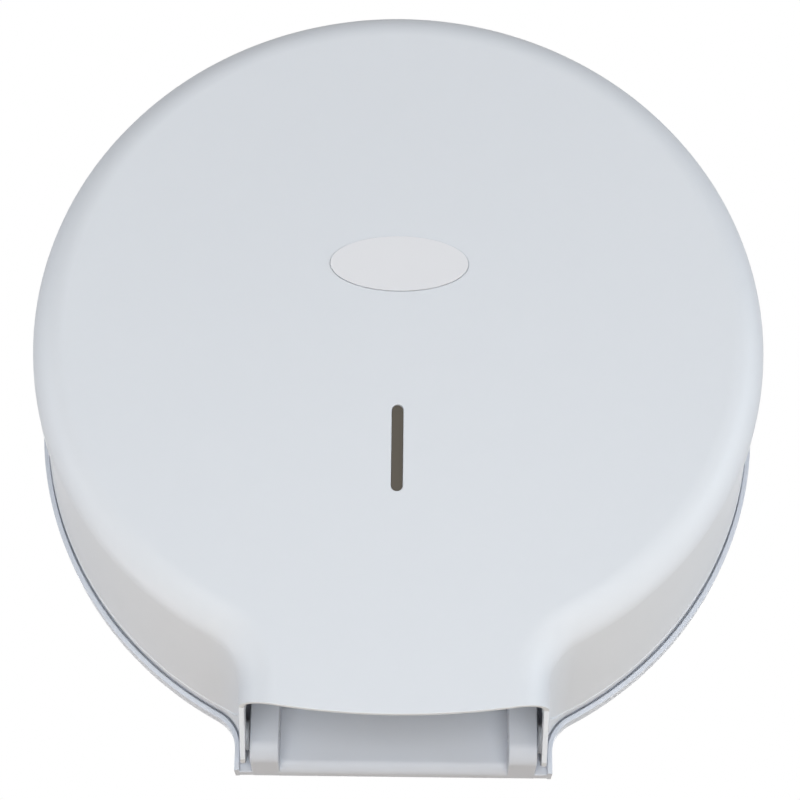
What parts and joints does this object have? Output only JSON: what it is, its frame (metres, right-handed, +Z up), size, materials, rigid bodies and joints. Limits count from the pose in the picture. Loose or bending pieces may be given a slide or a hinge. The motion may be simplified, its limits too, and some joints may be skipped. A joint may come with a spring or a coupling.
{
  "type": "jumbo toilet roll dispenser",
  "caption": "Wall-mounted round dispenser for one jumbo toilet roll: hinged drum cover with a neck outlet, back plate, roll hub on a post and a cam lock.",
  "frame": {"origin": "on the wall face of the back plate, on the axis of the roll spindle and midway between the four wall screws", "axes": "+Z up, +Y into the wall, -Y out of the wall towards the user, +X to the right as the user sees it"},
  "size_m": [0.2794, 0.1002, 0.2867],
  "materials": {
    "cover_plastic": "smooth moulded, soft gloss, cool white",
    "plate_plastic": "moulded, fine satin, cool white",
    "window_smoked": "smoked clear plastic, polished",
    "badge_blank": "plain, satin",
    "hub_plastic": "moulded, satin",
    "washer_felt": "grey felt",
    "steel": "zinc plated",
    "lock_metal": "polished chrome plating"
  },
  "bodies": {
    "base": {"back_plate": "plate_plastic", "hinge_pin_left": "steel", "hinge_pin_right": "steel", "spindle_post": "hub_plastic", "spindle_screws": "steel", "friction_washer": "washer_felt", "hub_cap": "hub_plastic", "hub_screw": "steel", "lock_keeper": "steel", "keeper_screws": "steel"},
    "cover": {"front_cover": "cover_plastic", "level_window": "window_smoked", "badge_plate": "badge_blank", "lock_housing": "lock_metal", "lock_washer": "steel", "lock_nut": "steel"},
    "hub": {"core_hub": "hub_plastic"},
    "lock": {"lock_barrel": "lock_metal", "lock_cam": "steel", "cam_screw": "steel"}
  },
  "joints": [
    {"name": "cover_hinge", "type": "hinge", "parent": "base", "child": "cover", "pos_m": [0, -0.0155, -0.132], "axis": [1, 0, 0], "range_deg": [0, 88]},
    {"name": "hub_spin", "type": "hinge", "parent": "base", "child": "hub", "pos_m": [0, -0.045, 0], "axis": [0, 1, 0], "continuous": true},
    {"name": "lock_turn", "type": "hinge", "parent": "cover", "child": "lock", "pos_m": [0, -0.022, 0.128], "axis": [0, 0, -1], "range_deg": [0, 90]}
  ]
}
